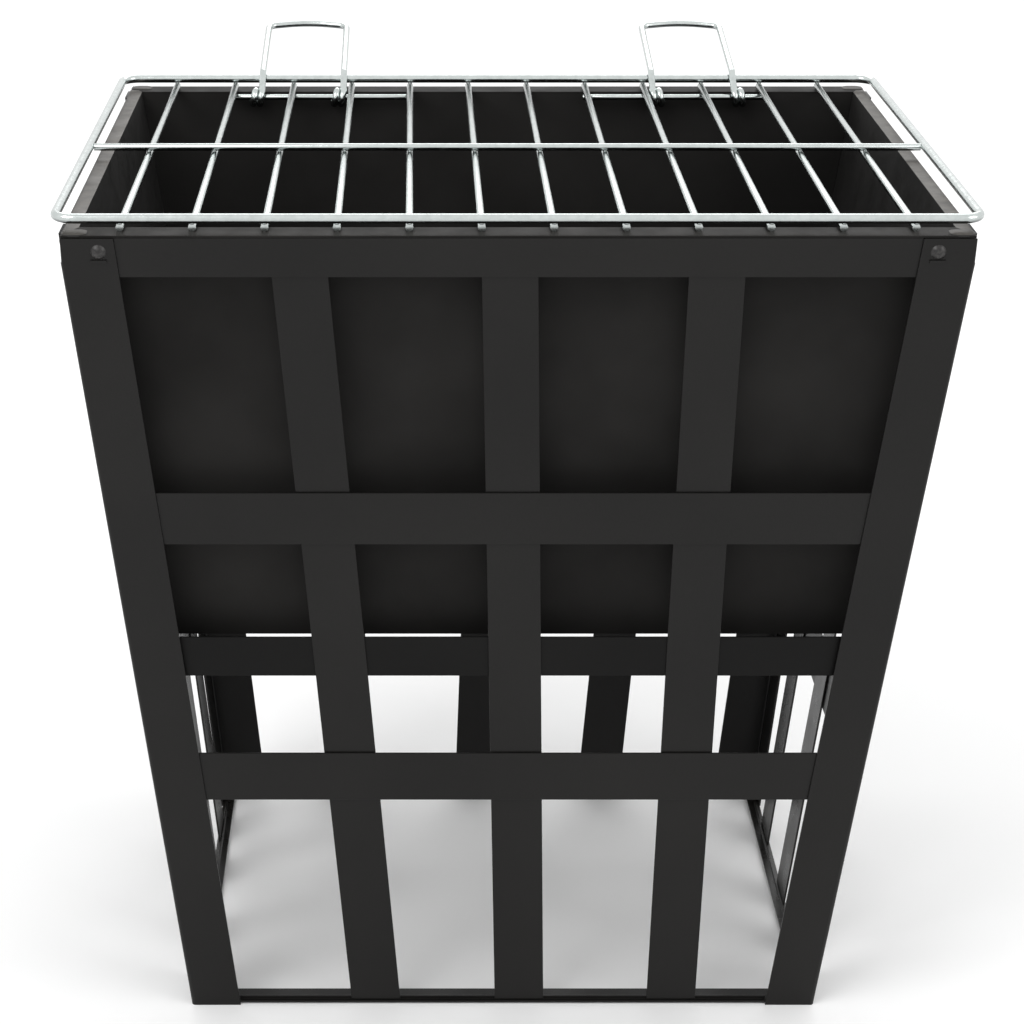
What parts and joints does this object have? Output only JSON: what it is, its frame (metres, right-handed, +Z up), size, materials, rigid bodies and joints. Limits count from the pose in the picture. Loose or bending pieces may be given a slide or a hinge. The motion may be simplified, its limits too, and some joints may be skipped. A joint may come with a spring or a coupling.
{
  "type": "fire pit with grate",
  "caption": "Square-topped tapered steel fire pit: dark lattice frame, hanging fire box and a chromed wire cooking grate with hinged wire handles.",
  "frame": {"origin": "on the floor, under the middle of the overall box", "axes": "+Z up, +X to the right along the wide faces, +Y towards the face that the handles reach over"},
  "size_m": [0.463, 0.4132, 0.4954],
  "materials": {
    "coated_frame_steel": "satin black heat-resistant coating",
    "fire_box_steel": "satin black heat-resistant coating",
    "chromed_wire": "bright",
    "blackened_fasteners": "satin black"
  },
  "bodies": {
    "frame": {"post_front_left": "coated_frame_steel", "post_front_right": "coated_frame_steel", "post_back_left": "coated_frame_steel", "post_back_right": "coated_frame_steel", "top_rail_front": "coated_frame_steel", "middle_rail_front": "coated_frame_steel", "lower_rail_front": "coated_frame_steel", "bottom_rail_front": "coated_frame_steel", "slat_front_1": "coated_frame_steel", "slat_front_2": "coated_frame_steel", "slat_front_3": "coated_frame_steel", "top_rail_right": "coated_frame_steel", "middle_rail_right": "coated_frame_steel", "lower_rail_right": "coated_frame_steel", "bottom_rail_right": "coated_frame_steel", "slat_right_1": "coated_frame_steel", "slat_right_2": "coated_frame_steel", "slat_right_3": "coated_frame_steel", "top_rail_back": "coated_frame_steel", "middle_rail_back": "coated_frame_steel", "lower_rail_back": "coated_frame_steel", "bottom_rail_back": "coated_frame_steel", "slat_back_1": "coated_frame_steel", "slat_back_2": "coated_frame_steel", "slat_back_3": "coated_frame_steel", "top_rail_left": "coated_frame_steel", "middle_rail_left": "coated_frame_steel", "lower_rail_left": "coated_frame_steel", "bottom_rail_left": "coated_frame_steel", "slat_left_1": "coated_frame_steel", "slat_left_2": "coated_frame_steel", "slat_left_3": "coated_frame_steel", "tie_bar_front": "coated_frame_steel", "tie_bar_back": "coated_frame_steel", "corner_bolts": "blackened_fasteners", "corner_nuts": "blackened_fasteners"},
    "fire_box": {"fire_box_wall_front": "fire_box_steel", "fire_box_wall_right": "fire_box_steel", "fire_box_wall_back": "fire_box_steel", "fire_box_wall_left": "fire_box_steel", "fire_box_floor": "fire_box_steel"},
    "grate": {"grate_ring": "chromed_wire", "grate_bar_01": "chromed_wire", "grate_bar_02": "chromed_wire", "grate_bar_03": "chromed_wire", "grate_bar_04": "chromed_wire", "grate_bar_05": "chromed_wire", "grate_bar_06": "chromed_wire", "grate_bar_07": "chromed_wire", "grate_bar_08": "chromed_wire", "grate_bar_09": "chromed_wire", "grate_bar_10": "chromed_wire", "grate_bar_11": "chromed_wire", "grate_bar_12": "chromed_wire", "grate_centre_rod": "chromed_wire", "hinge_rod_left": "chromed_wire", "hinge_rod_right": "chromed_wire"},
    "left_handle": {"handle_left": "chromed_wire"},
    "right_handle": {"handle_right": "chromed_wire"}
  },
  "joints": [
    {"name": "fire_box_lift", "type": "slide", "parent": "frame", "child": "fire_box", "axis": [0, 0, 1], "range_m": [0, 0.26]},
    {"name": "grate_lift", "type": "slide", "parent": "fire_box", "child": "grate", "axis": [0, 0, 1], "range_m": [0, 0.04]},
    {"name": "left_handle_swing", "type": "hinge", "parent": "grate", "child": "left_handle", "pos_m": [-0.11875, 0.1117, 0.46647], "axis": [1, 0, 0], "range_deg": [0, 158]},
    {"name": "right_handle_swing", "type": "hinge", "parent": "grate", "child": "right_handle", "pos_m": [0.11875, 0.1117, 0.46647], "axis": [1, 0, 0], "range_deg": [0, 158]}
  ]
}
